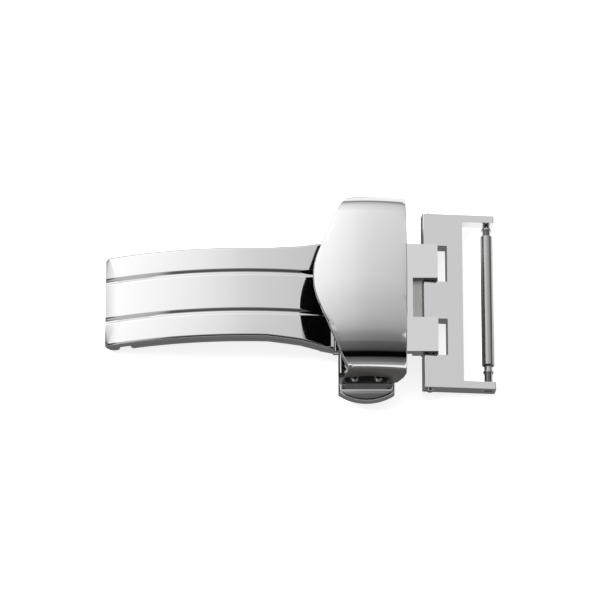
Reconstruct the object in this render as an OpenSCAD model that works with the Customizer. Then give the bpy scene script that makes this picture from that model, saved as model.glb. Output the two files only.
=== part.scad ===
/* [Strap] */
// Clear width between the two arms that hold the strap's spring bar
strap_w = 18; // [16:0.5:20]
// Thickness of each arm of the end link
arm_w = 0.8; // [0.6:0.1:1.2]

/* [Blades] */
// Distance between the two hinge pins
pin_span = 33.3; // [32.5:0.1:36]
// Radius of the outer blade's top, which follows the wrist
blade_r = 36; // [34:1:40]
// Place of the arch's top, from the blade hinge
arch_at = 14; // [13:0.5:15]
// Width of both blades
blade_w = 10; // [9.4:0.2:11]
// Width of the blades where they flare at the clasp
flare_w = 12.1; // [11.6:0.1:12.4]
// How far the outer blade reaches past the blade hinge
end_lap = 0.95; // [0.8:0.05:1]
// Thickness of the outer blade
outer_t = 0.9; // [0.8:0.05:1]
// Thickness of the inner blade along its arch
inner_t = 0.75; // [0.6:0.05:0.8]
// Thickness of the inner blade's level end
level_t = 0.9; // [0.8:0.05:1]
// Height of the top of the inner blade's level end
level_z = 3; // [2.9:0.05:3.1]
// Distance of each long groove from the middle line
groove_at = 2.2; // [1.8:0.1:2.6]
// Width of a groove at the surface
groove_w = 0.6; // [0.3:0.02:0.7]
// Depth of a groove
groove_d = 0.2; // [0.1:0.02:0.3]

/* [Hinges] */
// Diameter of the blade hinge pin
blade_pin_d = 0.7; // [0.6:0.05:0.8]
// Radius of the blade hinge's knuckle and lugs
knuckle_r = 0.62; // [0.55:0.01:0.65]
// Half width of the middle knuckle
knuckle_half = 3.2; // [2.6:0.1:3.6]
// Diameter of the link hinge pin
link_pin_d = 1; // [0.8:0.05:1.1]
// Height of the dome on each end of the link pin
pin_dome = 0.35; // [0.1:0.05:0.4]
// Radial clearance of a pin that turns
run = 0.03; // [0.02:0.01:0.08]
// Gap between faces that slide past each other
slip = 0.06; // [0.04:0.01:0.1]

/* [End link] */
// Thickness of the end link
link_t = 1.6; // [1.5:0.1:1.8]
// Height of the link pin
link_pin_z = 1.5; // [1.5:0.05:1.7]
// Distance from the link pin to the spring bar
bar_reach = 6.2; // [5.8:0.05:7]
// Distance from the link pin to the far side of the cross web
web_far = 3.5; // [3.2:0.1:3.6]
// Distance from the link pin to the near side of the cross web
web_near = 1.85; // [1.7:0.05:2]
// Half width of the end link's middle knuckle
mid_half = 2.1; // [1.8:0.1:2.4]
// How far the end link reaches past the link pin
link_lap = 0.75; // [0.6:0.05:0.75]
// How far the arms reach past the spring bar
arm_lap = 0.75; // [0.7:0.05:1]
// Radius of the end link's rounded ends
link_round = 0.15; // [0.1:0.05:0.35]

/* [Spring bar] */
// Diameter of the spring bar's tube
bar_d = 1.3; // [1.2:0.05:1.5]
// Diameter of the stem inside the tube
stem_d = 0.84; // [0.7:0.02:0.9]
// Diameter of the tip that sits in the arm
tip_d = 0.7; // [0.6:0.05:0.8]
// Room between the tube and each arm when the tube is in the middle
tube_room = 1.7; // [1.5:0.05:2]
// How far the tube sits off the middle
tube_off = 0.35; // [0:0.05:0.5]
// How far each tip can be pushed in
tip_travel = 0.6; // [0.5:0.05:0.65]

/* [Cover] */
// Place of the latch's middle, from the blade hinge
latch_at = 26.6; // [26.2:0.1:26.8]
// Height of the cover's crown
crown_z = 10.1; // [9.8:0.1:10.5]
// Radius of the crown across the clasp
crown_r = 40; // [32:1:60]
// Radius of the crown along the clasp
long_r = 20; // [19:1:40]
// Thickness of the cover's crown
crown_t = 1.4; // [1.3:0.1:1.5]
// Angle of the cover's slanting sides
slant = 22.8; // [20:0.2:24]
// Thickness of each side skirt
skirt_t = 0.6; // [0.5:0.05:0.8]
// Radius of the cover's shoulders
shoulder_r = 3.2; // [2.8:0.1:3.6]
// Height of the skirts' lower edge
skirt_z = 2.9; // [2.85:0.05:3.2]

/* [Latch] */
// Thickness of the latch frame's floor
floor_t = 0.68; // [0.6:0.02:0.8]
// Thickness of the hook plates
hook_t = 0.6; // [0.5:0.02:0.6]
// Width of a hook's arm
hook_w = 2.5; // [2:0.1:2.6]
// How far a push button travels
press = 0.6; // [0.4:0.05:0.65]
// How far a hook reaches under the inner blade
catch = 0.35; // [0.25:0.05:0.4]
// Width of a push button
button_w = 5.9; // [5.6:0.1:6.2]
// Distance from the middle line to a button's outermost point
button_out = 11.4; // [11.2:0.1:12]
// Thickness of a button
button_t = 1.3; // [1.2:0.1:1.4]
// Height of the strap peg above the floor
peg_h = 1.8; // [1.2:0.1:2.2]
// Diameter of the strap peg
peg_d = 1.5; // [1:0.1:2]

/* [Hidden] */
$fn = 64;
eps = 0.01;

// The end link slopes down until its end stands level with the blade hinge's base
link_end = bar_reach + arm_lap;
link_tilt = asin((link_pin_z - link_t / 2) / link_end);
link_span = link_end * cos(link_tilt) + link_t / 2 * sin(link_tilt);
bar_x = bar_reach * cos(link_tilt);
bar_z = link_pin_z - bar_reach * sin(link_tilt);

// The blade hinge's place, with the part's middle at the origin
hinge_x = -(end_lap + pin_span + link_span) / 2 + end_lap;
link_x = hinge_x + pin_span;
latch_x = hinge_x + latch_at;

// The arch: the pin lies below the outer surface by the plate over the knuckle
over_pin = 0.55;
pin_depth = over_pin + 0.08 + knuckle_r;
pin_z = knuckle_r;
arch_x = hinge_x + arch_at;
arch_z = pin_z - sqrt(pow(blade_r - pin_depth, 2) - arch_at * arch_at);
arch_tilt = asin(arch_at / (blade_r - pin_depth));
inner_top_r = blade_r - outer_t - slip;
inner_low_r = inner_top_r - inner_t;
// Where the inner blade's arch comes down to its level end
level_x = arch_x + sqrt(pow(inner_top_r, 2) - pow(level_z - arch_z, 2));

// Heights in the latch, from the inner blade up
layer_z = level_z + slip;
floor_z = layer_z + hook_t + slip;
floor_top = floor_z + floor_t;

// Widths across the clasp
tunnel_half = strap_w / 2;
link_half = tunnel_half + arm_w;
cover_half = tunnel_half + skirt_t;
flare_half = flare_w / 2;
side_gap = 0.15;

// Places along the clasp, from the latch's middle
frame_l = 3.5;
frame_r = 3.8;
nose_l = 5.6;
cover_l = 2.2;
cover_r = 4.15;
// The cut at each of the cover's two corners by the button
corner_l = 0.3;
corner_w = 1.2;
shoulder_y = cover_half + 0.2 - shoulder_r;
shoulder_z = crown_z - crown_r + sqrt(pow(crown_r - shoulder_r, 2) - pow(shoulder_y, 2));
// Where the crown's curve runs into its shoulders
tangent_y = shoulder_y * crown_r / (crown_r - shoulder_r);
tab_half = 2.9;
tab_r = 3.2;
rivet_pitch = 4;
rivet_d = 0.7;

// The hooks, measured out from the middle line
leg_in = tab_half + slip + press + 0.19;
leg_t = 0.6;
toe_out = leg_in + leg_t + catch;
rivet_head = 1;
slot_in = leg_in - press - 0.15;
slot_out = toe_out + 0.35;
slot_l = hook_w + 0.3;
web_in = flare_half + press + side_gap;
web_half = button_w / 2 - 0.75;
cheek_in = web_in + 0.4;
rivet_out = 9.25;
hook_out = rivet_out + 0.45;
ear_l = 0.35;
pad_in = tunnel_half + press + 0.05;
step_out = 10.2;
button_z = skirt_z - 0.2;
button_low = button_z - button_t;
button_sag = 0.9;
button_r = (pow(button_w / 2, 2) + button_sag * button_sag) / (2 * button_sag);
// The button's top rounds down to its front on this radius
button_top_r = 9;
button_crest = 9.1;
spring_r = hook_t / 2 - 0.02;
spring_at = web_half - spring_r - 0.05;
spring_z = layer_z + hook_t / 2;
cheek_out = tunnel_half - 0.1;
notch_in = rivet_out - rivet_head / 2 - press - 0.05;
stop_out = leg_in + 1.1;
stop_in = stop_out - 0.5;

module along_y(len, mid = 0) {
    translate([0, mid + len / 2, 0])
        rotate([90, 0, 0])
            linear_extrude(len)
                children();
}
module rod_y(r, len, mid = 0) {
    translate([0, mid + len / 2, 0])
        rotate([90, 0, 0])
            cylinder(r = r, h = len);
}
module pair() {
    children();
    mirror([0, 1, 0])
        children();
}
module block(x0, x1, y0, y1, z0, z1) {
    translate([x0, y0, z0])
        cube([x1 - x0, y1 - y0, z1 - z0]);
}
// A curved plate between two radii about the arch's axis
module arch_plate(r_low, r_top, half) {
    translate([arch_x, 0, arch_z])
        difference() {
            rod_y(r_top, 2 * half, 0, $fn = 256);
            rod_y(r_low, 2 * half + 1, 0, $fn = 256);
        }
}
// The blades' outline from above, straight and then flared at the clasp
module blade_plan(x0, x1, z0, z1) {
    half = blade_w / 2;
    x_flare = latch_x - 10.4;
    x_full = latch_x - frame_l;
    translate([0, 0, z0])
        linear_extrude(z1 - z0)
            polygon([[x0, -half + 0.3], [x0 + 0.3, -half], [x_flare, -half],
                [(x_flare + x_full) / 2, -half - (flare_half - half) * 0.32],
                [x_full, -flare_half], [x1, -flare_half], [x1, flare_half],
                [x_full, flare_half],
                [(x_flare + x_full) / 2, half + (flare_half - half) * 0.32],
                [x_flare, half], [x0 + 0.3, half], [x0, half - 0.3]]);
}
// A V groove that follows the outer blade's arch
module groove() {
    translate([arch_x, groove_at, arch_z])
        rotate([90, 0, 0])
            rotate_extrude($fn = 256)
                polygon([[blade_r - groove_d, 0], [blade_r + groove_d, -groove_w],
                    [blade_r + groove_d, groove_w]]);
}
module blade_hinge_frame() {
    translate([hinge_x, 0, pin_z])
        rotate([0, -arch_tilt, 0])
            children();
}

module inner_blade() {
    neck = 1.7;
    color("silver")
        difference() {
            union() {
                intersection() {
                    arch_plate(inner_low_r, inner_top_r, flare_half);
                    blade_plan(hinge_x + neck, link_x, 0, level_z + 5);
                    block(hinge_x, level_x + eps, -flare_half, flare_half, 0, 9);
                }
                intersection() {
                    arch_plate(inner_low_r, inner_top_r, knuckle_half);
                    block(hinge_x, hinge_x + neck + 0.2, -knuckle_half, knuckle_half, 0, 9);
                }
                translate([hinge_x, 0, pin_z])
                    rod_y(knuckle_r, 2 * knuckle_half);
                intersection() {
                    block(level_x - eps, link_x - web_near + 0.1, -flare_half, flare_half,
                        level_z - level_t, level_z);
                    blade_plan(hinge_x, link_x, 0, level_z);
                }
                pair()
                    link_knuckle();
                link_step();
            }
            translate([hinge_x, 0, pin_z])
                rod_y(blade_pin_d / 2 + run, blade_w);
            pair()
                block(latch_x - slot_l / 2, latch_x + slot_l / 2, slot_in, slot_out,
                    level_z - level_t - 1, level_z + 1);
        }
}
// One of the inner blade's two knuckles at the end link
module link_knuckle() {
    in = mid_half + 0.12;
    high = level_z - link_pin_z;
    reach = sqrt(pow(web_near - 0.1, 2) - high * high);
    translate([link_x, 0, link_pin_z])
        difference() {
            union() {
                rod_y(link_t / 2 + 0.13, flare_half - in, (flare_half + in) / 2);
                block(-web_near, reach, in, flare_half, 0, high);
            }
            rod_y(link_pin_d / 2 + run, 20);
        }
}
// The step between the knuckles, hollowed to clear the link's turning end
module link_step() {
    sweep_r = norm([link_lap, link_t / 2]) + slip;
    translate([link_x, 0, 0])
        difference() {
            block(-web_near - 0.5, slip - link_lap - 0.1, -mid_half - 0.2, mid_half + 0.2,
                link_pin_z + 0.4, link_pin_z + link_t / 2 + 0.05);
            translate([0, 0, link_pin_z])
                rod_y(sweep_r, 3 * mid_half);
        }
}
module outer_blade() {
    color("gainsboro")
        difference() {
            union() {
                intersection() {
                    arch_plate(blade_r - outer_t, blade_r, flare_half);
                    blade_plan(hinge_x - end_lap, latch_x - frame_l, 0, 9);
                    union() {
                        block(hinge_x - 2, hinge_x + 9, -9, 9, -1, 9);
                        block(hinge_x + 8, latch_x, -9, 9, layer_z, 9);
                    }
                }
                block(latch_x - frame_l - 0.4, latch_x + tab_r, -tab_half, tab_half,
                    layer_z, floor_z);
                hinge_lugs();
            }
            translate([hinge_x, 0, pin_z])
                rod_y(blade_pin_d / 2, blade_w + 1);
            blade_hinge_frame() {
                rod_y(knuckle_r + 0.08, 2 * (knuckle_half + 0.08));
                block(-3, 0, -knuckle_half - 0.08, knuckle_half + 0.08, -2,
                    knuckle_r + 0.08);
            }
            groove();
            mirror([0, 1, 0])
                groove();
            frame_rivet_places()
                cylinder(d = rivet_d, h = 4, center = true);
            translate([latch_x, 0, layer_z])
                cylinder(d = rivet_d, h = 4, center = true);
        }
}
module hinge_lugs() {
    half = blade_w / 2 - 0.12;
    pair()
        translate([hinge_x, 0, pin_z]) {
            rod_y(knuckle_r, half - knuckle_half - 0.08, (half + knuckle_half + 0.08) / 2);
            rotate([0, -arch_tilt, 0])
                block(-0.35, knuckle_r, knuckle_half + 0.08, half, 0,
                    pin_depth - outer_t / 2);
        }
}
module blade_pin() {
    color("dimgray")
        translate([hinge_x, 0, pin_z])
            rod_y(blade_pin_d / 2, blade_w - 0.24);
}
module link_side(x0, x1, y0, y1) {
    block(x0, x1, y0, y1, -link_t / 2, link_t / 2);
}
// The end link's outline seen from the side, a bar with rounded corners
module link_outline() {
    inner_h = link_t - 2 * link_round;
    translate([-link_lap, -inner_h / 2])
        square([link_lap + link_end, inner_h]);
    translate([-link_lap + link_round, -link_t / 2])
        square([link_lap + link_end - 2 * link_round, link_t]);
    for (x = [-link_lap + link_round, link_end - link_round], z = [-1, 1])
        translate([x, z * inner_h / 2])
            circle(r = link_round);
}
module end_link() {
    slot_half = flare_half + 0.12;
    color("gainsboro")
        translate([link_x, 0, link_pin_z])
            rotate([0, link_tilt, 0])
                difference() {
                    along_y(2 * link_half)
                        link_outline();
                    link_side(web_far, link_end + 1, -tunnel_half, tunnel_half);
                    pair()
                        link_side(-2, web_near, mid_half, slot_half);
                    rod_y(link_pin_d / 2, 2 * link_half + 1);
                    translate([bar_reach, 0, 0])
                        rod_y(tip_d / 2 + run, 2 * link_half + 1);
                }
}
module link_pin() {
    dome_r = (pow(link_pin_d / 2, 2) + pin_dome * pin_dome) / (2 * pin_dome);
    color("silver")
        translate([link_x, 0, link_pin_z]) {
            rod_y(link_pin_d / 2, 2 * link_half);
            pair()
                translate([0, link_half + pin_dome - dome_r, 0])
                    intersection() {
                        sphere(r = dome_r);
                        rod_y(dome_r + 1, pin_dome + eps, dome_r - pin_dome / 2);
                    }
        }
}

module at_bar() {
    translate([link_x + bar_x, 0, bar_z])
        children();
}
tube_l = strap_w - 2 * tube_room;
bore_r = stem_d / 2 + run;
module bar_tube() {
    color("lightgray")
        at_bar()
            difference() {
                rod_y(bar_d / 2, tube_l, tube_off);
                rod_y(bore_r, tube_l + 1, tube_off);
            }
}
stem_in = tube_l * 0.22;
module bar_spring() {
    color("dimgray")
        at_bar()
            difference() {
                rod_y(stem_d / 2 - 0.02, 2 * stem_in);
                rod_y(stem_d / 2 - 0.16, 2 * stem_in + 1);
            }
}
module bar_tip(tube_end) {
    flange_in = tube_end + tip_travel + 0.05;
    neck_end = tunnel_half - 0.15;
    tip_end = tunnel_half + tip_travel - 0.05;
    at_bar() {
        rod_y(stem_d / 2, neck_end - stem_in, (neck_end + stem_in) / 2);
        rod_y(bar_d / 2 - 0.1, 0.2, flange_in + 0.1);
        rod_y(tip_d / 2, tip_end - neck_end + 1, (tip_end + neck_end - 1) / 2);
    }
}
module bar_tip_back() {
    color("silver")
        bar_tip(tube_l / 2 + tube_off);
}
module bar_tip_front() {
    color("silver")
        mirror([0, 1, 0])
            bar_tip(tube_l / 2 - tube_off);
}

// The cover's outline from above: straight end, slanting sides and a round nose
module cover_plan() {
    apex = cover_l + cover_half * tan(slant);
    nose_r = (apex - nose_l) * cos(slant) / (1 - cos(slant));
    meet_x = nose_r - nose_l - nose_r * cos(slant);
    meet_y = nose_r * sin(slant);
    cut_x = -cover_l - corner_w * tan(slant);
    translate([latch_x, 0, 0])
        linear_extrude(2 * crown_z) {
            polygon([[cover_r, -cover_half], [cover_r + 0.1, 0], [cover_r, cover_half],
                [corner_l - cover_l, cover_half], [cut_x, cover_half - corner_w],
                [meet_x, meet_y], [meet_x, -meet_y], [cut_x, corner_w - cover_half],
                [corner_l - cover_l, -cover_half]]);
            intersection() {
                translate([nose_r - nose_l, 0])
                    circle(r = nose_r, $fn = 256);
                translate([-nose_l - 1, -meet_y])
                    square([meet_x + nose_l + 1, 2 * meet_y]);
            }
        }
}
// The crown's section, swept along the clasp on a large radius
module crown() {
    translate([latch_x - 0.1, 0, crown_z - long_r])
        rotate([90, 0, 0])
            rotate_extrude($fn = 256) {
                intersection() {
                    translate([long_r - crown_r, 0])
                        circle(r = crown_r, $fn = 256);
                    translate([long_r - 6, -tangent_y])
                        square([7, 2 * tangent_y]);
                }
                translate([long_r - 6, -cover_half])
                    square([6 - crown_z + shoulder_z, 2 * cover_half]);
                for (s = [-1, 1])
                    intersection() {
                        translate([long_r - crown_z + shoulder_z, s * shoulder_y])
                            circle(r = shoulder_r);
                        translate([long_r - 6, -cover_half])
                            square([7, 2 * cover_half]);
                    }
            }
}
module cover() {
    void_z = crown_z - crown_t;
    void_r = shoulder_r - 0.5;
    void_y = tunnel_half + 0.2 - void_r;
    color("whitesmoke") {
        difference() {
            union() {
                intersection() {
                    crown();
                    block(latch_x - 9, latch_x + 9, -cover_half, cover_half, shoulder_z, 20);
                    cover_plan();
                }
                pair()
                    skirt();
            }
            block(latch_x - 9, latch_x + 9, -void_y, void_y, 0, void_z);
            block(latch_x - 9, latch_x + 9, -tunnel_half, tunnel_half, 0, void_z - void_r);
            pair()
                intersection() {
                    translate([latch_x, void_y, void_z - void_r])
                        rotate([0, 90, 0])
                            cylinder(r = void_r, h = 18, center = true);
                    block(latch_x - 9, latch_x + 9, 0, tunnel_half, 0, 20);
                }
        }
        pair()
            cover_ledge();
    }
}
// One side skirt, with the arch that clears the push button
module skirt() {
    low = skirt_z;
    top = shoulder_z + 0.6;
    arch_l = web_half + 0.1;
    arch_r = arch_l + 0.1;
    translate([latch_x, 0, 0])
        along_y(skirt_t, cover_half - skirt_t / 2)
            difference() {
                polygon([[corner_l - cover_l, top], [cover_r, top], [cover_r, low + 2.9],
                    [cover_r - 0.3, low + 1.6], [cover_r - 0.9, low + 0.2],
                    [cover_r - 1.3, low], [-arch_l - 0.35, low]]);
                translate([-arch_l, low - 1])
                    square([arch_l + arch_r, 2.4]);
                intersection() {
                    translate([0.1, low + 2.15 - 5.2])
                        circle(r = 5.2, $fn = 96);
                    translate([-arch_l, low])
                        square([arch_l + arch_r, 3]);
                }
            }
}
module cover_rivet_place() {
    translate([latch_x + frame_r - 0.45, tunnel_half - 0.45, floor_z - 0.2])
        children();
}
// The ledge under the floor that a rivet joins to the frame
module cover_ledge() {
    difference() {
        block(latch_x + frame_r - 0.9, latch_x + frame_r, tunnel_half - 0.9,
            tunnel_half + eps, skirt_z + 0.2, floor_z);
        cover_rivet_place()
            cylinder(d = rivet_d, h = 3, center = true);
    }
}
module cover_rivet() {
    color("silver")
        cover_rivet_place()
            translate([0, 0, -0.6])
                cylinder(d = rivet_d, h = floor_top - floor_z + 0.8);
}
module cover_rivet_back() {
    cover_rivet();
}
module cover_rivet_front() {
    mirror([0, 1, 0])
        cover_rivet();
}

module frame_rivet_places() {
    for (s = [-1, 1])
        translate([latch_x + s * rivet_pitch / 2, 0, layer_z])
            children();
}
module latch_frame() {
    color("gray")
        difference() {
            union() {
                translate([latch_x, 0, floor_z])
                    linear_extrude(floor_t)
                        polygon([[-frame_l, -6.8], [-button_w / 2, -6.8],
                            [-button_w / 2, -tunnel_half], [frame_r, -tunnel_half],
                            [frame_r, tunnel_half], [-button_w / 2, tunnel_half],
                            [-button_w / 2, 6.8], [-frame_l, 6.8]]);
                pair()
                    frame_side();
            }
            pair()
                block(latch_x - web_half, latch_x + web_half, notch_in, button_out, 0, 9);
            frame_rivet_places()
                cylinder(d = rivet_d, h = 4, center = true);
            translate([latch_x, 0, floor_z])
                cylinder(d = rivet_d, h = 4, center = true);
            pair()
                cover_rivet_place()
                    cylinder(d = rivet_d, h = 3, center = true);
        }
}
// The cheeks that guide a button, and the stops that its springs push on
module frame_side() {
    for (s = [-1, 1])
        translate([latch_x, 0, 0]) {
            x0 = s > 0 ? web_half + 0.05 : -button_w / 2;
            x1 = s > 0 ? button_w / 2 : -web_half - 0.05;
            block(x0, x1, cheek_in, cheek_out, button_z + slip, floor_z + eps);
            block(s * spring_at - 0.3, s * spring_at + 0.3, stop_in, stop_out,
                layer_z, floor_z + eps);
        }
}
module frame_rivets() {
    color("silver")
        frame_rivet_places()
            cylinder(d = rivet_d, h = floor_top - layer_z + 0.12);
}
module strap_peg() {
    color("silver")
        translate([latch_x, 0, 0]) {
            translate([0, 0, layer_z])
                cylinder(d = rivet_d, h = floor_top - layer_z + eps);
            translate([0, 0, floor_top])
                cylinder(d = peg_d, h = peg_h - 0.3);
            translate([0, 0, floor_top + peg_h - 0.3])
                cylinder(d1 = peg_d, d2 = peg_d - 0.6, h = 0.3);
        }
}

// The button: a thick plate with a rounded front, and the web that joins its hook
module button() {
    color("lightgray")
        translate([latch_x, 0, 0])
            difference() {
                union() {
                    intersection() {
                        block(-button_w / 2, button_w / 2, web_in, button_out,
                            button_low, button_z);
                        translate([0, button_out - button_r, 0])
                            cylinder(r = button_r, h = 9, $fn = 128);
                        translate([0, button_crest, button_z - button_top_r])
                            rotate([0, 90, 0])
                                cylinder(r = button_top_r, h = 9, center = true, $fn = 256);
                    }
                    block(-button_w / 2, button_w / 2, web_in, pad_in, button_low, button_z);
                    block(-web_half, web_half, web_in, hook_out, button_low, layer_z);
                    block(-button_w / 2, button_w / 2, web_in, web_in + ear_l,
                        button_low, layer_z);
                }
                block(-button_w / 2 + ear_l, button_w / 2 - ear_l, hook_out + 0.02,
                    step_out, button_z - 0.5, 9);
                hook_rivet_places()
                    cylinder(d = rivet_d, h = 4, center = true);
            }
}
module hook_rivet_places() {
    for (s = [-1, 1])
        translate([s * hook_w / 2, rivet_out, layer_z])
            children();
}
// The hook plate: a stamped arm over the blade, its leg and its toe
module hook() {
    color("darkgray")
        translate([latch_x, 0, 0])
            difference() {
                union() {
                    block(-hook_w / 2, hook_w / 2, leg_in, web_in + eps, layer_z,
                        layer_z + hook_t);
                    block(-web_half, web_half, web_in, hook_out, layer_z,
                        layer_z + hook_t);
                    block(-hook_w / 2, hook_w / 2, leg_in, leg_in + leg_t,
                        level_z - level_t - slip - 0.5, layer_z + eps);
                    block(-hook_w / 2, hook_w / 2, leg_in, toe_out,
                        level_z - level_t - slip - 0.5, level_z - level_t - slip);
                }
                hook_rivet_places()
                    cylinder(d = rivet_d, h = 4, center = true);
            }
}
module hook_rivets() {
    color("silver")
        translate([latch_x, 0, 0])
            hook_rivet_places() {
                translate([0, 0, -1])
                    cylinder(d = rivet_d, h = 1.1 + hook_t);
                translate([0, 0, hook_t])
                    cylinder(d1 = rivet_head, d2 = rivet_head * 0.6, h = 0.24);
            }
}
module button_springs() {
    color("dimgray")
        for (s = [-1, 1])
            translate([latch_x + s * spring_at, 0, spring_z])
                difference() {
                    rod_y(spring_r, web_in - stop_out - 0.02, (web_in + stop_out) / 2);
                    rod_y(spring_r - 0.12, 20);
                }
}
module button_back() {
    button();
}
module button_front() {
    mirror([0, 1, 0])
        button();
}
module hook_back() {
    hook();
}
module hook_front() {
    mirror([0, 1, 0])
        hook();
}
module hook_rivets_back() {
    hook_rivets();
}
module hook_rivets_front() {
    mirror([0, 1, 0])
        hook_rivets();
}
module button_springs_back() {
    button_springs();
}
module button_springs_front() {
    mirror([0, 1, 0])
        button_springs();
}

inner_blade();
outer_blade();
blade_pin();
end_link();
link_pin();
bar_tube();
bar_spring();
bar_tip_back();
bar_tip_front();
cover();
cover_rivet_back();
cover_rivet_front();
latch_frame();
frame_rivets();
strap_peg();
button_back();
button_front();
hook_back();
hook_front();
hook_rivets_back();
hook_rivets_front();
button_springs_back();
button_springs_front();
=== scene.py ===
"""A folding watch-strap clasp in polished steel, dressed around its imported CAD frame."""

import logging
import math
from dataclasses import dataclass
from enum import Enum
from typing import Any, Callable, Sequence

import bmesh
import bpy
from mathutils import Matrix, Vector


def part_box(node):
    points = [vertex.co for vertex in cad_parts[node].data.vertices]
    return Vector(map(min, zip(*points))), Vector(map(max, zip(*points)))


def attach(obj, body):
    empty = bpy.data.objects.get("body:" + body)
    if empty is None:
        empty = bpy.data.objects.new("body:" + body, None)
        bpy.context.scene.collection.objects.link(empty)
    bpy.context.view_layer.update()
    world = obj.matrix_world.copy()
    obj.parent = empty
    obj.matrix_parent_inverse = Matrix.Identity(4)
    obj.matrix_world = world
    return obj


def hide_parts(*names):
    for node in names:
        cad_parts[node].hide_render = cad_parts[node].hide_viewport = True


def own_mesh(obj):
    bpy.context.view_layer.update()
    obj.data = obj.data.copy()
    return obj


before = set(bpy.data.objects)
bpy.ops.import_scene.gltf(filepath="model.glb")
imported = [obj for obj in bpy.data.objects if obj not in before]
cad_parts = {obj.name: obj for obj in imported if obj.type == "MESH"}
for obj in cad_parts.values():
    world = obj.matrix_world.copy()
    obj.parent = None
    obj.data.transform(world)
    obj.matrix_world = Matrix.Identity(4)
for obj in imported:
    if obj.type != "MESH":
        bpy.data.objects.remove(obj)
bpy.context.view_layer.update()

logging.basicConfig(level=logging.INFO, format="%(name)s: %(message)s")
LOG = logging.getLogger("clasp")

MM = 0.001
# Corners that are nearer to each other than this are merged
MERGE_DISTANCE = 0.002 * MM
# Faces that fold by less than this are one flat
FLAT_ANGLE = math.radians(0.3)
# Edges that fold by more than this are shaded sharp, and are eased
SHARP_ANGLE = math.radians(28)
# Faces across a rounded rim, round a spring's wire and along each of its turns
RIM_SEGMENTS = 4
WIRE_SIDES = 8
STEPS_PER_TURN = 16
# The large faces alone set the direction of the shading
FULL_WEIGHT = 100
# How dense lengthwise buffing marks and turned rings are along their own length
BUFFED_SHARE = 0.08
TURNED_SHARE = 0.05
# Size of the faint clouds that finishing and handling leave
CLOUD_MM = 4


def linear_colour(hex_code: str) -> tuple[float, float, float, float]:
    """Turn an sRGB hex value into linear light.

    Args:
        hex_code: Six hex digits, with or without a leading hash.

    Returns:
        Red, green, blue and an alpha of one.
    """
    digits = hex_code.lstrip("#")
    channels = [int(digits[i:i + 2], 16) / 255 for i in (0, 2, 4)]
    linear = [c / 12.92 if c <= 0.04045 else ((c + 0.055) / 1.055) ** 2.4 for c in channels]
    return (linear[0], linear[1], linear[2], 1.0)


def add_node(tree: bpy.types.NodeTree, kind: str, settings: dict[str, Any] | None = None,
             links: dict[str, bpy.types.NodeSocket] | None = None) -> bpy.types.Node:
    """Add one node with its settings and its incoming links.

    Args:
        tree: The node tree that gets the node.
        kind: The node's type name.
        settings: Attributes of the node, or default values of its inputs.
        links: Output sockets to join to the named inputs.

    Returns:
        The new node.
    """
    node = tree.nodes.new(kind)
    for name, value in (settings or {}).items():
        if hasattr(node, name):
            setattr(node, name, value)
        else:
            node.inputs[int(name) if name.isdigit() else name].default_value = value
    for name, socket in (links or {}).items():
        tree.links.new(socket, node.inputs[int(name) if name.isdigit() else name])
    return node


class Grain(Enum):
    """How a steel surface was finished."""

    BUFFED = "buffed"
    TURNED = "turned"
    BLASTED = "blasted"


@dataclass(frozen=True)
class Steel:
    """Stainless steel 316L, the usual steel of clasps, with one surface finish.

    Attributes:
        name: The material's name.
        tint: sRGB hex of the metal's reflection.
        roughness: The middle of the roughness pattern.
        spread: How far the roughness departs from the middle.
        grain: The way in which the surface was finished.
        relief_mm: Depth of the fine marks, in millimetres.
        spacing_mm: Spacing of the fine marks, in millimetres.
    """

    name: str
    tint: str
    roughness: float
    spread: float
    grain: Grain
    relief_mm: float
    spacing_mm: float

    def stretch(self) -> tuple[float, float, float]:
        """How the marks are scaled along X, Y and Z.

        Returns:
            The three scales, in marks per metre.
        """
        fine = 1 / (self.spacing_mm * MM)
        if self.grain is Grain.BUFFED:
            return (fine * BUFFED_SHARE, fine, fine)
        if self.grain is Grain.TURNED:
            return (fine * TURNED_SHARE, fine, fine * TURNED_SHARE)
        return (fine, fine, fine)

    def build(self) -> bpy.types.Material:
        """Make the material.

        Returns:
            A node material on Object coordinates.
        """
        material = bpy.data.materials.new(self.name)
        material.use_nodes = True
        tree = material.node_tree
        tree.nodes.clear()
        place = add_node(tree, "ShaderNodeTexCoord").outputs["Object"]
        marks = add_node(tree, "ShaderNodeMapping", {"Scale": self.stretch()},
                         {"Vector": place}).outputs["Vector"]
        fine = add_node(tree, "ShaderNodeTexNoise",
                        {"Scale": 1.0, "Detail": 3.0, "Roughness": 0.55},
                        {"Vector": marks}).outputs["Fac"]
        # Broad, faint clouds, as finishing and handling leave them
        clouds = add_node(tree, "ShaderNodeTexNoise",
                          {"Scale": 1 / (CLOUD_MM * MM), "Detail": 2.0, "Roughness": 0.5},
                          {"Vector": place}).outputs["Fac"]
        blend = add_node(tree, "ShaderNodeMix", {"data_type": "FLOAT", "Factor": 0.5},
                         {"2": fine, "3": clouds}).outputs[0]
        # The noise lies mostly between 0.3 and 0.7
        rough = add_node(tree, "ShaderNodeMapRange",
                         {"From Min": 0.3, "From Max": 0.7,
                          "To Min": self.roughness - self.spread,
                          "To Max": self.roughness + self.spread},
                         {"Value": blend}).outputs["Result"]
        bump = add_node(tree, "ShaderNodeBump",
                        {"Strength": 0.5, "Distance": self.relief_mm * MM},
                        {"Height": fine}).outputs["Normal"]
        shader = add_node(tree, "ShaderNodeBsdfPrincipled",
                          {"Base Color": linear_colour(self.tint), "Metallic": 1.0},
                          {"Roughness": rough, "Normal": bump})
        add_node(tree, "ShaderNodeOutputMaterial", {}, {"Surface": shader.outputs["BSDF"]})
        material.diffuse_color = linear_colour(self.tint)
        return material


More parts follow.
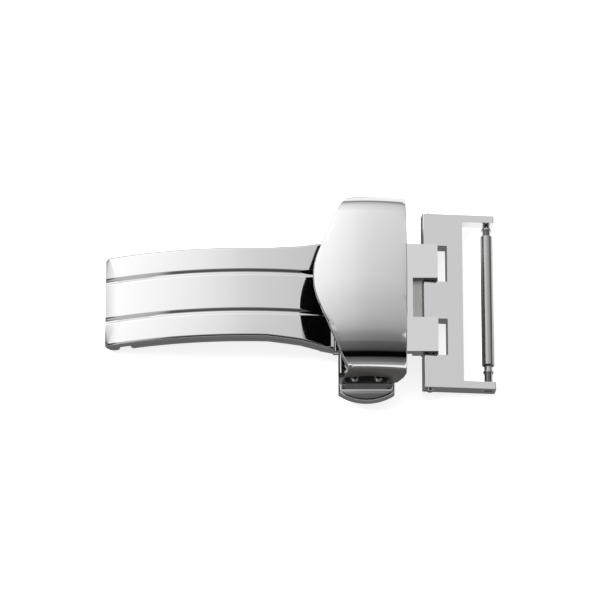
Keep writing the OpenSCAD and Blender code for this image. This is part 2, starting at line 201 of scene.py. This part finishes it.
# Mirror polish: reflections stay sharp, with the faintest lengthwise buffing marks
MIRROR = Steel("polished_steel", "#E4E4E5", 0.06, 0.02, Grain.BUFFED, 0.0003, 0.12)
# Turned bar: rings round the tube, which spread the highlight along it
TURNED = Steel("satin_turned_steel", "#B9B8B6", 0.2, 0.06, Grain.TURNED, 0.0015, 0.09)
# The cover's skirts, brushed lengthwise: an even grey without a sharp reflection
SATIN = Steel("satin_steel", "#B4B2AF", 0.34, 0.05, Grain.BUFFED, 0.001, 0.08)
# Hooks inside the latch: bead blasted to a dull grey
BLASTED = Steel("blasted_steel", "#6E6C69", 0.42, 0.08, Grain.BLASTED, 0.003, 0.06)
# The cover's underside and inner walls: the same blasting, with painted shade: a near-black
# tint that stands in for the dark inside the tunnel
PAINTED_SHADE_STEEL = Steel("steel_with_painted_shade", "#2E2D2C", 0.45, 0.08, Grain.BLASTED, 0.003, 0.06)
# Ground pins, rivets and the latch's plate: bright, with soft reflections
GROUND = Steel("ground_pin_steel", "#D2D0CC", 0.16, 0.05, Grain.TURNED, 0.001, 0.08)
# Milled step between the knuckles: pale and without a reflection
MILLED = Steel("milled_steel", "#EAE8E4", 0.5, 0.05, Grain.BLASTED, 0.002, 0.08)
# Drawn spring wire: smooth and a little darker
WIRE = Steel("spring_wire_steel", "#A19E99", 0.24, 0.06, Grain.BLASTED, 0.001, 0.1)


@dataclass
class Workshop:
    """Makes pieces from the CAD frame and hands each its finish.

    Attributes:
        finishes: The materials that are made so far, by name.
    """

    finishes: dict[str, bpy.types.Material]

    def finish(self, steel: Steel) -> bpy.types.Material:
        """The material of a finish, made once.

        Args:
            steel: The finish.

        Returns:
            Its material.
        """
        if steel.name not in self.finishes:
            self.finishes[steel.name] = steel.build()
        return self.finishes[steel.name]

    def new_piece(self, name: str, mesh: bmesh.types.BMesh, body: str,
                  steel: Steel, stands_for: Sequence[str],
                  flats: bool = True) -> bpy.types.Object:
        """Turn a bmesh into a finished piece that rides a body.

        Args:
            name: The piece's name.
            mesh: The shape, in metres in the row's frame. It is freed.
            body: The CAD body that carries it.
            steel: The finish.
            stands_for: The CAD nodes that it replaces.
            flats: Whether its flats stay flat, with only the eased edges shaded round.

        Returns:
            The new object.
        """
        data = bpy.data.meshes.new(name)
        mesh.to_mesh(data)
        mesh.free()
        data.materials.append(self.finish(steel))
        data.shade_smooth()
        data.set_sharp_from_angle(angle=SHARP_ANGLE)
        piece = bpy.data.objects.new(name, data)
        bpy.context.scene.collection.objects.link(piece)
        if flats:
            even = piece.modifiers.new("even_normals", "WEIGHTED_NORMAL")
            even.keep_sharp = True
            even.weight = FULL_WEIGHT
        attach(piece, body)
        if stands_for:
            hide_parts(*stands_for)
        LOG.info("%s: %d faces on %s", name, len(data.polygons), body)
        return piece

    def merged(self, node: str) -> bmesh.types.BMesh:
        """A merged copy of a CAD node, with its flats made single faces.

        Args:
            node: The CAD node.

        Returns:
            A new bmesh.
        """
        mesh = bmesh.new()
        mesh.from_mesh(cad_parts[node].data)
        bmesh.ops.remove_doubles(mesh, verts=mesh.verts[:], dist=MERGE_DISTANCE)
        bmesh.ops.dissolve_degenerate(mesh, edges=mesh.edges[:], dist=MERGE_DISTANCE / 2)
        bmesh.ops.dissolve_limit(mesh, angle_limit=FLAT_ANGLE, verts=mesh.verts[:],
                                 edges=mesh.edges[:])
        return mesh

    def ease_edges(self, mesh: bmesh.types.BMesh, radius_mm: float,
                   keep: Callable[[bmesh.types.BMEdge], bool] | None = None,
                   segments: int = 2, clamp: bool = True) -> None:
        """Round the sharp edges of a shape a little, as polishing does.

        Args:
            mesh: The shape.
            radius_mm: How far each edge is eased.
            keep: Says which edges may be eased; all of them if left out.
            segments: Faces across each eased edge.
            clamp: Whether short edges hold the rounding back.
        """
        sharp = [e for e in mesh.edges if len(e.link_faces) == 2
                 and e.calc_face_angle(0.0) > SHARP_ANGLE and (keep is None or keep(e))]
        LOG.info("easing %d edges by %.2f mm, shortest %.3f mm", len(sharp), radius_mm,
                 min((e.calc_length() for e in sharp), default=0) / MM)
        bmesh.ops.bevel(mesh, geom=sharp, offset=radius_mm * MM, segments=segments,
                        profile=0.5, affect="EDGES", clamp_overlap=clamp, material=-1)

    def eased_node(self, node: str, body: str, steel: Steel,
                   radius_mm: float, segments: int = 2) -> bpy.types.Object:
        """A CAD node's shape with eased edges, in its place.

        Args:
            node: The CAD node.
            body: The body that carries it.
            steel: The finish.
            radius_mm: How far its edges are eased.
            segments: Faces across each eased edge.

        Returns:
            The new object.
        """
        mesh = self.merged(node)
        self.ease_edges(mesh, radius_mm, segments=segments)
        return self.new_piece(node + "_eased", mesh, body, steel, [node])

    def coil(self, name: str, body: str, start: Vector, axis: Vector, length_mm: float,
             radius_mm: float, wire_mm: float, turns: int) -> bpy.types.Object:
        """A helical spring.

        Args:
            name: The piece's name.
            body: The body that carries it.
            start: The middle of its first turn.
            axis: The way in which it runs.
            length_mm: Its length.
            radius_mm: Radius of the helix.
            wire_mm: Thickness of the wire.
            turns: How many turns it has.

        Returns:
            The new object.
        """
        mesh = bmesh.new()
        turn = axis.to_track_quat("Z", "X").to_matrix().to_4x4()
        place = Matrix.Translation(start) @ turn
        ring = bmesh.ops.create_circle(mesh, cap_ends=True, cap_tris=False,
                                       segments=WIRE_SIDES, radius=wire_mm * MM / 2)
        side = Matrix.Translation((radius_mm * MM, 0, 0)) @ Matrix.Rotation(math.pi / 2, 4, "X")
        bmesh.ops.transform(mesh, matrix=place @ side, verts=ring["verts"])
        steps = turns * STEPS_PER_TURN
        rise = axis.normalized() * (length_mm * MM / steps)
        bmesh.ops.spin(mesh, geom=mesh.faces[:] + mesh.edges[:] + mesh.verts[:], cent=start,
                       axis=axis, dvec=rise, angle=turns * math.tau, steps=steps)
        bmesh.ops.remove_doubles(mesh, verts=mesh.verts[:], dist=MERGE_DISTANCE / 4)
        bmesh.ops.recalc_face_normals(mesh, faces=mesh.faces[:])
        return self.new_piece(name, mesh, body, WIRE, [])


@dataclass
class Blades:
    """The two nested arched blades and the pin that hinges them.

    Attributes:
        edge_mm: How far the blades' edges are eased.
        rim_mm: How far the outer blade's long top edges are rounded.
        lip_mm: How far the lips of its grooves are rounded.
        groove_half_mm: The grooves lie within this distance of the middle line.
        step_half_mm: Half width of the step between the inner blade's knuckles.
        step_l_mm: How far the step reaches back from the link pin.
        step_drop_mm: The step's faces lie at least this far below the blade's top.
        pin_edge_mm: How far the pin's edges are eased.
        top_share: A top's normal points up by at least this share.
        flank_share: A flank's normal points sideways by at least this share.
        lip_share: Both faces at a groove's lip point up by at least this share.
    """

    edge_mm: float = 0.1
    rim_mm: float = 0.26
    lip_mm: float = 0.13
    groove_half_mm: float = 3.0
    step_half_mm: float = 2.4
    step_l_mm: float = 2.0
    step_drop_mm: float = 0.3
    pin_edge_mm: float = 0.08
    top_share: float = 0.8
    flank_share: float = 0.7
    lip_share: float = 0.5

    def build(self, shop: Workshop) -> None:
        """Dress both blades and their pin.

        Args:
            shop: Makes the pieces.
        """
        self.outer(shop)
        self.inner(shop)
        shop.eased_node("blade_pin", "outer", GROUND, self.pin_edge_mm)

    def outer(self, shop: Workshop) -> None:
        """Round the outer blade's rim, and ease the lips of its grooves only a little.

        Args:
            shop: Makes the piece.
        """
        mesh = shop.merged("outer_blade")

        def on_rim(edge: bmesh.types.BMEdge) -> bool:
            """Whether an edge is part of the top's long outline.

            Args:
                edge: An edge of the blade.

            Returns:
                True where it is.
            """
            up = max(face.normal.z for face in edge.link_faces)
            level = max(abs(face.normal.y) for face in edge.link_faces)
            out = min(abs(v.co.y) for v in edge.verts)
            return (up > self.top_share and level > self.flank_share
                    and out > self.groove_half_mm * MM)

        def on_lip(edge: bmesh.types.BMEdge) -> bool:
            """Whether an edge is the lip of a groove.

            Args:
                edge: An edge of the blade.

            Returns:
                True where it is.
            """
            up = min(face.normal.z for face in edge.link_faces)
            return (up > self.lip_share and edge.is_convex
                    and max(abs(v.co.y) for v in edge.verts) < self.groove_half_mm * MM)

        shop.ease_edges(mesh, self.rim_mm, on_rim, RIM_SEGMENTS, clamp=False)
        shop.ease_edges(mesh, self.lip_mm, on_lip, RIM_SEGMENTS, clamp=False)
        shop.new_piece("outer_blade_eased", mesh, "outer", MIRROR,
                       ["outer_blade"])

    def inner(self, shop: Workshop) -> None:
        """Leave the step between the inner blade's knuckles unpolished.

        Args:
            shop: Makes the piece.
        """
        mesh = shop.merged("inner_blade")
        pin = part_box("link_pin")
        pin_x = (pin[0].x + pin[1].x) / 2
        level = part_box("inner_blade")[1].z
        for face in mesh.faces:
            middle = face.calc_center_median()
            hidden = (abs(middle.y) < self.step_half_mm * MM
                      and middle.x > pin_x - self.step_l_mm * MM)
            low = middle.z < level - self.step_drop_mm * MM
            face.material_index = int(hidden and low)
        shop.ease_edges(mesh, self.edge_mm)
        blade = shop.new_piece("inner_blade_eased", mesh, "inner", MIRROR,
                               ["inner_blade"])
        blade.data.materials.append(shop.finish(MILLED))


@dataclass
class EndLink:
    """The H-shaped link at the strap's end, with its hinge pin and spring bar.

    Attributes:
        edge_mm: How far the link's edges are eased.
        edge_segments: Faces across each of these edges.
        pin_edge_mm: How far the pin's edges are eased.
        tube_edge_mm: How far the tube's edges are eased.
        tip_edge_mm: How far the tips' edges are eased.
        wire_mm: Thickness of the spring's wire.
        coil_turns: Turns of each half of the bar's spring.
        tip_travel_mm: How far a tip can be pushed in; not used.
    """

    edge_mm: float = 0.2
    edge_segments: int = 3
    pin_edge_mm: float = 0.03
    tube_edge_mm: float = 0.06
    tip_edge_mm: float = 0.05
    wire_mm: float = 0.16
    coil_turns: int = 9
    tip_travel_mm: float = 0.6

    def build(self, shop: Workshop) -> None:
        """Dress the link, the pin and the bar.

        Args:
            shop: Makes the pieces.
        """
        shop.eased_node("end_link", "link", MIRROR, self.edge_mm,
                        self.edge_segments)
        shop.eased_node("link_pin", "link", GROUND, self.pin_edge_mm)
        shop.eased_node("bar_tube", "bar", TURNED, self.tube_edge_mm)
        for word in ("back", "front"):
            shop.eased_node("bar_tip_" + word, word + "_tip", TURNED,
                            self.tip_edge_mm)
        self.bar_springs(shop)

    def bar_springs(self, shop: Workshop) -> None:
        """Wind the spring inside the bar, in two halves that press one tip each.

        Args:
            shop: Makes the pieces.
        """
        low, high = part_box("bar_spring")
        middle = (low + high) / 2
        radius = (high.z - low.z) / 2 / MM
        half = (high.y - low.y) / 2 / MM
        for side, word in ((1, "back"), (-1, "front")):
            axis = Vector((0, side, 0))
            piece = shop.coil("bar_coil_" + word, "bar", middle, axis, half - self.wire_mm,
                              radius - self.wire_mm / 2, self.wire_mm, self.coil_turns)
            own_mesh(piece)
            if side > 0:
                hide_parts("bar_spring")


@dataclass
class Latch:
    """The frame under the cover, with its push buttons, hooks and springs.

    Attributes:
        edge_mm: How far most edges of the plate and the buttons are eased.
        rim_mm: How far the rim of a button's top and the plate's left edge are rounded.
        rim_depth_mm: How deep the button's rim reaches, from its outermost point.
        rivet_edge_mm: How far the edges of the frame's rivets and of the peg are eased.
        hook_edge_mm: How far the hooks' edges are eased.
        hook_rivet_edge_mm: How far the edges of the hooks' rivets are eased.
        press_mm: How far a button travels; not used.
        wire_mm: Thickness of the springs' wire.
        coil_turns: Turns of each spring.
        top_share: A top's normal points up by at least this share.
        wall_share: A wall's normal points up or down by at most this share.
        near_mm: Corners this near to a line count as lying on it.
    """

    edge_mm: float = 0.08
    rim_mm: float = 0.32
    rim_depth_mm: float = 1.0
    rivet_edge_mm: float = 0.05
    hook_edge_mm: float = 0.04
    hook_rivet_edge_mm: float = 0.03
    press_mm: float = 0.6
    wire_mm: float = 0.13
    coil_turns: int = 5
    top_share: float = 0.8
    wall_share: float = 0.3
    near_mm: float = 0.02

    def build(self, shop: Workshop) -> None:
        """Dress the latch.

        Args:
            shop: Makes the pieces.
        """
        self.plate(shop)
        shop.eased_node("frame_rivets", "outer", GROUND, self.rivet_edge_mm)
        shop.eased_node("strap_peg", "outer", GROUND, self.rivet_edge_mm)
        for word, side in (("back", 1), ("front", -1)):
            body = word + "_button"
            self.button(shop, "button_" + word, body)
            shop.eased_node("hook_" + word, body, BLASTED,
                            self.hook_edge_mm)
            shop.eased_node("hook_rivets_" + word, body, GROUND,
                            self.hook_rivet_edge_mm)
            self.button_coils(shop, word, side)

    def plate(self, shop: Workshop) -> None:
        """Round the plate's left edge, which shows beside the cover.

        Args:
            shop: Makes the piece.
        """
        mesh = shop.merged("latch_frame")
        button_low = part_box("button_back")[0]
        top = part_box("latch_frame")[1].z

        def on_left(edge: bmesh.types.BMEdge) -> bool:
            """Whether an edge runs along the top of the left side.

            Args:
                edge: An edge of the plate.

            Returns:
                True where it does.
            """
            return all(v.co.x < button_low.x + self.near_mm * MM
                       and top - v.co.z < self.near_mm * MM for v in edge.verts)

        shop.ease_edges(mesh, self.rim_mm, on_left, RIM_SEGMENTS, clamp=False)
        shop.ease_edges(mesh, self.edge_mm, segments=1)
        shop.new_piece("latch_frame_eased", mesh, "outer", GROUND,
                       ["latch_frame"])

    def button(self, shop: Workshop, node: str, body: str) -> None:
        """Round the rim of a button's top, where a finger presses.

        Args:
            shop: Makes the pieces.
            node: The CAD node.
            body: The body that carries it.
        """
        mesh = shop.merged(node)
        low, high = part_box(node)
        out = max(abs(low.y), abs(high.y))

        def on_rim(edge: bmesh.types.BMEdge) -> bool:
            """Whether an edge runs round the top's outside.

            Args:
                edge: An edge of the button.

            Returns:
                True where it does.
            """
            up = max(face.normal.z for face in edge.link_faces)
            wall = min(abs(face.normal.z) for face in edge.link_faces)
            at_side = all(min(v.co.x - low.x, high.x - v.co.x) < self.near_mm * MM
                          for v in edge.verts)
            outermost = all(abs(v.co.y) > out - self.rim_depth_mm * MM for v in edge.verts)
            return (up > self.top_share and wall < self.wall_share
                    and (at_side or outermost))

        shop.ease_edges(mesh, self.rim_mm, on_rim, RIM_SEGMENTS, clamp=False)
        shop.ease_edges(mesh, self.edge_mm, segments=1)
        shop.new_piece(node + "_eased", mesh, body, MIRROR, [node])

    def button_coils(self, shop: Workshop, word: str, side: int) -> None:
        """Wind the pair of springs that push one button out.

        Args:
            shop: Makes the pieces.
            word: The button's name.
            side: Which way is out, 1 or -1 along Y.
        """
        node = "button_springs_" + word
        low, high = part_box(node)
        length = (high.y - low.y) / MM
        radius = (high.z - low.z) / 2 / MM
        inner_y = low.y if side > 0 else high.y
        for x, place in ((low.x + radius * MM, "left"), (high.x - radius * MM, "right")):
            start = Vector((x, inner_y + side * self.wire_mm / 2 * MM,
                            (low.z + high.z) / 2))
            axis = Vector((0, side, 0))
            piece = shop.coil(f"button_coil_{word}_{place}", "outer", start, axis,
                              length - self.wire_mm, radius - self.wire_mm / 2,
                              self.wire_mm, self.coil_turns)
            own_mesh(piece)
            if place == "left":
                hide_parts(node)


@dataclass
class Cover:
    """The domed cover over the strap tunnel, riveted to the frame.

    Attributes:
        edge_mm: How far its edges are eased.
        edge_segments: Faces across each of these edges.
        rim_mm: How far the crown's outline is rounded.
        rivet_edge_mm: How far its rivets' edges are eased.
        skirt_mm: Thickness of its side skirts.
        inside_share: A normal that points down or inwards by this share is inside.
        skirt_share: A skirt's normal points sideways by at least this share.
        crown_share: The crown's normal points up by at least this share.
        wall_share: A wall's normal points up or down by at most this share.
        fold_angle: The crown's outline folds by at least this angle, in radians.
    """

    edge_mm: float = 0.16
    edge_segments: int = 3
    rim_mm: float = 0.11
    rivet_edge_mm: float = 0.05
    skirt_mm: float = 0.6
    inside_share: float = 0.3
    skirt_share: float = 0.99
    crown_share: float = 0.3
    wall_share: float = 0.2
    fold_angle: float = 0.8

    def build(self, shop: Workshop) -> None:
        """Dress the cover and its rivets.

        Args:
            shop: Makes the pieces.
        """
        self.shell(shop)
        for word in ("back", "front"):
            shop.eased_node("cover_rivet_" + word, "outer", GROUND,
                            self.rivet_edge_mm)

    def shell(self, shop: Workshop) -> None:
        """Dress the shell: polished on top, brushed skirts, and painted shade, a near-black
        steel, on the faces inside the tunnel.

        Args:
            shop: Makes the piece.
        """
        mesh = shop.merged("cover")
        inner_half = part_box("cover")[1].y - self.skirt_mm * MM
        for face in mesh.faces:
            middle = face.calc_center_median()
            inside = abs(middle.y) < inner_half + MERGE_DISTANCE
            outwards = face.normal.y * math.copysign(1, middle.y)
            down_or_in = min(face.normal.z, outwards) < -self.inside_share
            skirt = abs(face.normal.y) > self.skirt_share and not inside
            # 0 is the polished crown, 1 the inside with painted shade and 2 the brushed skirts
            face.material_index = 2 if skirt else int(inside and down_or_in)

        def on_outline(edge: bmesh.types.BMEdge) -> bool:
            """Whether an edge is part of the crown's outline.

            Args:
                edge: An edge of the cover.

            Returns:
                True where it is.
            """
            up = max(face.normal.z for face in edge.link_faces)
            level = min(abs(face.normal.z) for face in edge.link_faces)
            return (up > self.crown_share and level < self.wall_share
                    and edge.calc_face_angle(0.0) > self.fold_angle)

        shop.ease_edges(mesh, self.rim_mm, on_outline, RIM_SEGMENTS, clamp=False)
        shop.ease_edges(mesh, self.edge_mm, segments=self.edge_segments)
        shell = shop.new_piece("cover_shell", mesh, "outer", MIRROR,
                               ["cover"], flats=False)
        # The inside of the tunnel gets painted shade: a near-black steel
        shell.data.materials.append(shop.finish(PAINTED_SHADE_STEEL))
        shell.data.materials.append(shop.finish(SATIN))


@dataclass
class Studio:
    """The camera, the pale floor and the soft light.

    Attributes:
        elevation_deg: The camera's height above the horizon.
        distance: From the camera to the point that it looks at, in metres.
        aim: The point that the camera looks at.
        focal_mm: The lens.
        sensor_mm: Width of the sensor.
        floor_half: Half the floor's width, in metres.
        floor_drop: How far the floor lies below the clasp, in metres.
        floor_glow: How far the floor is lifted towards white for the camera.
        shade_mm: The middle of the dim floor round the clasp.
        near_mm: The steel mirrors a dim floor up to this distance from there.
        far_mm: The steel mirrors a lit floor from here on.
        lit_mm: The lit floor is even up to this distance.
        end_mm: The floor is grey again from here on.
        near_level: Brightness of the dim floor.
        far_level: Brightness of the lit floor.
        end_level: Brightness of the grey floor.
        dark_x: Where the dark front of the room has its middle, as a direction's X.
        dark_half: Half its width.
        dark_fade: Width over which it turns grey at each side.
        room_level: Brightness beside it.
        sweep: Brightness at shares of the way over the clasp, from behind to in front.
        sides: Gain at shares of the way from the left to the right.
        lamp_place: Where the lamp hangs, in metres.
        lamp_size: The lamp's width and depth, in metres.
        lamp_watts: The lamp's power.
    """

    elevation_deg: float = 69.0
    distance: float = 0.5
    aim: tuple[float, float, float] = (-0.00004, 0.0, 0.00218)
    focal_mm: float = 283.8
    sensor_mm: float = 36.0
    floor_half: float = 1.5
    floor_drop: float = 0.00002
    floor_glow: float = 0.78
    shade_mm: tuple[float, float] = (-7.0, -9.0)
    near_mm: float = 27.0
    far_mm: float = 31.0
    lit_mm: float = 46.0
    end_mm: float = 62.0
    near_level: float = 0.16
    far_level: float = 1.1
    end_level: float = 0.34
    dark_x: float = 0.05
    dark_half: float = 0.42
    dark_fade: float = 0.15
    room_level: float = 0.4
    sweep: tuple[tuple[float, float], ...] = (
        (0.0, 0.55), (0.08, 0.8), (0.25, 0.97), (0.32, 0.88), (0.387, 0.79), (0.42, 0.69),
        (0.44, 0.63), (0.458, 0.57), (0.469, 0.5), (0.48, 0.4), (0.49, 0.28), (0.544, 0.14),
        (0.594, 0.12), (0.65, 0.1), (0.715, 0.06), (0.75, 0.002), (0.855, 0.002),
        (0.875, 0.09), (0.91, 0.13), (0.97, 0.2), (1.0, 0.25))
    sides: tuple[tuple[float, float], ...] = (
        (0.0, 0.03), (0.1, 0.12), (0.13, 0.5), (0.155, 1.5), (0.25, 1.43), (0.35, 1.33),
        (0.445, 1.17), (0.478, 1.09), (0.53, 1.0), (0.6, 0.94), (0.75, 0.8), (0.85, 0.45),
        (0.93, 0.15), (1.0, 0.08))
    lamp_place: tuple[float, float, float] = (-0.35, 0.25, 0.6)
    lamp_size: tuple[float, float] = (0.5, 0.4)
    lamp_watts: float = 4.0

    def build(self) -> None:
        """Set up everything that isn't the clasp."""
        self.camera()
        self.floor()
        self.world()
        self.lamps()
        bpy.context.scene.view_settings.view_transform = "Standard"

    def camera(self) -> None:
        """Place the camera at the photograph's angle."""
        data = bpy.data.cameras.new("camera")
        data.lens = self.focal_mm
        data.sensor_width = self.sensor_mm
        data.clip_start = 0.01
        data.clip_end = 20.0
        camera = bpy.data.objects.new("camera", data)
        rise = math.radians(self.elevation_deg)
        away = Vector((0, -math.cos(rise), math.sin(rise)))
        camera.location = Vector(self.aim) + away * self.distance
        camera.rotation_euler = (-away).to_track_quat("-Z", "Y").to_euler()
        bpy.context.scene.collection.objects.link(camera)
        bpy.context.scene.camera = camera

    def floor(self) -> None:
        """Lay a matt white floor that keeps the clasp's shadow, with a painted glow that only
        the steel's reflections see.
        """
        mesh = bmesh.new()
        bmesh.ops.create_grid(mesh, x_segments=1, y_segments=1, size=self.floor_half)
        data = bpy.data.meshes.new("floor")
        mesh.to_mesh(data)
        mesh.free()
        floor = bpy.data.objects.new("floor", data)
        floor.location.z = -self.floor_drop
        bpy.context.scene.collection.objects.link(floor)
        material = bpy.data.materials.new("white_paper_with_painted_glow")
        material.use_nodes = True
        tree = material.node_tree
        tree.nodes.clear()
        # What the camera sees: white paper, lifted towards white
        rays = add_node(tree, "ShaderNodeLightPath")
        paper = add_node(tree, "ShaderNodeBsdfDiffuse", {"Color": linear_colour("#F2F2F2")})
        glow_level = add_node(tree, "ShaderNodeMath",
                              {"operation": "MULTIPLY", "1": self.floor_glow},
                              {"0": rays.outputs["Is Camera Ray"]})
        glow = add_node(tree, "ShaderNodeEmission", {"Color": linear_colour("#FFFFFF")},
                        {"Strength": glow_level.outputs[0]})
        seen = add_node(tree, "ShaderNodeAddShader", {},
                        {"0": paper.outputs[0], "1": glow.outputs[0]})
        # What the steel mirrors is a painted glow: painted shade round the clasp, then a
        # painted lit ring, then grey
        place = add_node(tree, "ShaderNodeTexCoord").outputs["Object"]
        middle = tuple(side * MM for side in self.shade_mm) + (0.0,)
        away = add_node(tree, "ShaderNodeVectorMath",
                        {"operation": "DISTANCE", "1": middle}, {"0": place})
        level = add_node(tree, "ShaderNodeMapRange",
                         {"interpolation_type": "SMOOTHSTEP",
                          "From Min": self.near_mm * MM, "From Max": self.far_mm * MM,
                          "To Min": self.near_level, "To Max": self.far_level},
                         {"Value": away.outputs["Value"]})
        beyond = add_node(tree, "ShaderNodeMapRange",
                          {"interpolation_type": "SMOOTHSTEP",
                           "From Min": self.lit_mm * MM, "From Max": self.end_mm * MM,
                           "To Min": self.far_level, "To Max": self.end_level},
                          {"Value": away.outputs["Value"]})
        lit = add_node(tree, "ShaderNodeMath", {"operation": "MINIMUM"},
                       {"0": level.outputs["Result"], "1": beyond.outputs["Result"]})
        mirrored = add_node(tree, "ShaderNodeEmission", {"Color": linear_colour("#FFFFFF")},
                            {"Strength": lit.outputs[0]})
        either = add_node(tree, "ShaderNodeMixShader", {},
                          {"0": rays.outputs["Is Glossy Ray"], "1": seen.outputs[0],
                           "2": mirrored.outputs[0]})
        add_node(tree, "ShaderNodeOutputMaterial", {}, {"Surface": either.outputs[0]})
        data.materials.append(material)

    def world(self) -> None:
        """Surround the clasp with a studio: a white sweep behind and a dark room in front."""
        world = bpy.data.worlds.new("pale_studio")
        bpy.context.scene.world = world
        world.use_nodes = True
        tree = world.node_tree
        tree.nodes.clear()
        way = add_node(tree, "ShaderNodeTexCoord").outputs["Generated"]
        parts = add_node(tree, "ShaderNodeSeparateXYZ", {}, {"Vector": way})
        # The angle over the clasp, from the horizon behind (0) to the one in front (1)
        over = add_node(tree, "ShaderNodeMath", {"operation": "ARCTAN2"},
                        {"0": parts.outputs["Z"], "1": parts.outputs["Y"]})
        share = add_node(tree, "ShaderNodeMath", {"operation": "DIVIDE", "1": math.pi},
                         {"0": over.outputs[0]})
        ramp = add_node(tree, "ShaderNodeValToRGB", {}, {"Fac": share.outputs[0]})
        self.fill_ramp(ramp.color_ramp, self.sweep)
        across = add_node(tree, "ShaderNodeMapRange", {"From Min": -1.0, "From Max": 1.0},
                          {"Value": parts.outputs["X"]})
        side = add_node(tree, "ShaderNodeValToRGB", {}, {"Fac": across.outputs["Result"]})
        self.fill_ramp(side.color_ramp, self.sides)
        # The dark front is narrow: further to the sides the room is at least grey
        off_middle = add_node(tree, "ShaderNodeMath",
                              {"operation": "SUBTRACT", "1": self.dark_x},
                              {"0": parts.outputs["X"]})
        how_far = add_node(tree, "ShaderNodeMath", {"operation": "ABSOLUTE"},
                           {"0": off_middle.outputs[0]})
        beside = add_node(tree, "ShaderNodeMapRange",
                          {"interpolation_type": "SMOOTHSTEP",
                           "From Min": self.dark_half,
                           "From Max": self.dark_half + self.dark_fade,
                           "To Max": self.room_level},
                          {"Value": how_far.outputs[0]})
        lit = add_node(tree, "ShaderNodeMath", {"operation": "MAXIMUM"},
                       {"0": ramp.outputs["Color"], "1": beside.outputs["Result"]})
        evened = add_node(tree, "ShaderNodeMath", {"operation": "MULTIPLY"},
                          {"0": lit.outputs[0], "1": side.outputs["Color"]})
        # The camera itself sees plain white
        rays = add_node(tree, "ShaderNodeLightPath")
        seen = add_node(tree, "ShaderNodeMix", {"data_type": "FLOAT", "3": 1.0},
                        {"0": rays.outputs["Is Camera Ray"], "2": evened.outputs[0]})
        back = add_node(tree, "ShaderNodeBackground", {"Color": linear_colour("#FFFFFF")},
                        {"Strength": seen.outputs[0]})
        add_node(tree, "ShaderNodeOutputWorld", {}, {"Surface": back.outputs[0]})

    def fill_ramp(self, ramp: bpy.types.ColorRamp,
                  stops: Sequence[tuple[float, float]]) -> None:
        """Set a grey level at each place of a ramp.

        Args:
            ramp: The colour ramp to fill.
            stops: Places from 0 to 1, each with its level.
        """
        while len(ramp.elements) < len(stops):
            ramp.elements.new(0.5)
        for element, (place, level) in zip(ramp.elements, stops):
            element.position = place
            element.color = (level, level, level, 1.0)

    def lamps(self) -> None:
        """Hang one soft lamp above the clasp, to the left and a little behind it."""
        data = bpy.data.lights.new("softbox", "AREA")
        data.shape = "RECTANGLE"
        data.size, data.size_y = self.lamp_size
        data.energy = self.lamp_watts
        lamp = bpy.data.objects.new("softbox", data)
        lamp.location = self.lamp_place
        lamp.visible_glossy = False
        lamp.rotation_euler = (-Vector(lamp.location)).to_track_quat("-Z", "Y").to_euler()
        bpy.context.scene.collection.objects.link(lamp)


def main() -> None:
    """Build the clasp, then the studio round it."""
    shop = Workshop({})
    for assembly in (Blades(), EndLink(), Latch(), Cover()):
        LOG.info("building %s", type(assembly).__name__)
        assembly.build(shop)
    Studio().build()


if __name__ == "__main__":
    main()
